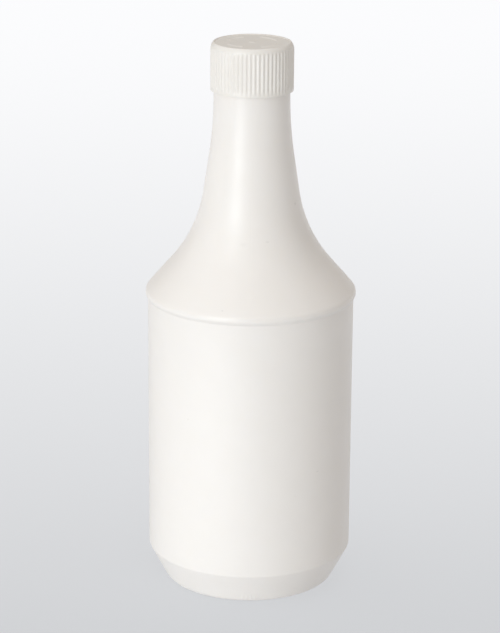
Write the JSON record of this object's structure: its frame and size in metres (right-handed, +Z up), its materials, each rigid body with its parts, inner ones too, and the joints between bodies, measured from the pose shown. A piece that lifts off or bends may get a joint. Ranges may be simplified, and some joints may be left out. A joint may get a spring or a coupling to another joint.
{
  "type": "round plastic bottle",
  "caption": "Round blow-moulded plastic bottle with a long tapering neck, a recessed label panel and a ribbed screw cap that unscrews.",
  "frame": {"origin": "on the bottle's axis, in the plane that it stands on", "axes": "+Z up along the bottle's axis, from the base to the cap; -Y is the side that faces the viewer"},
  "size_m": [0.0798, 0.0798, 0.2104],
  "materials": {
    "white_hdpe": "satin, blow-moulded",
    "white_polypropylene": "satin, injection-moulded",
    "polyethylene_foam": "matt foam"
  },
  "bodies": {
    "bottle": {"bottle": "white_hdpe"},
    "cap_liner": {"cap_liner": "polyethylene_foam"},
    "cap": {"cap": "white_polypropylene"}
  },
  "joints": [
    {"name": "cap_lift", "type": "slide", "parent": "bottle", "child": "cap_liner", "axis": [0, 0, 1], "range_m": [0, 0.00847]},
    {"name": "cap_turn", "type": "hinge", "parent": "cap_liner", "child": "cap", "pos_m": [0, 0, 0.2014], "axis": [0, 0, 1], "range_deg": [0, 720]}
  ],
  "couplings": [
    {"joint": "cap_lift", "follows": "cap_turn", "m_per_rad": 0.00067376}
  ]
}
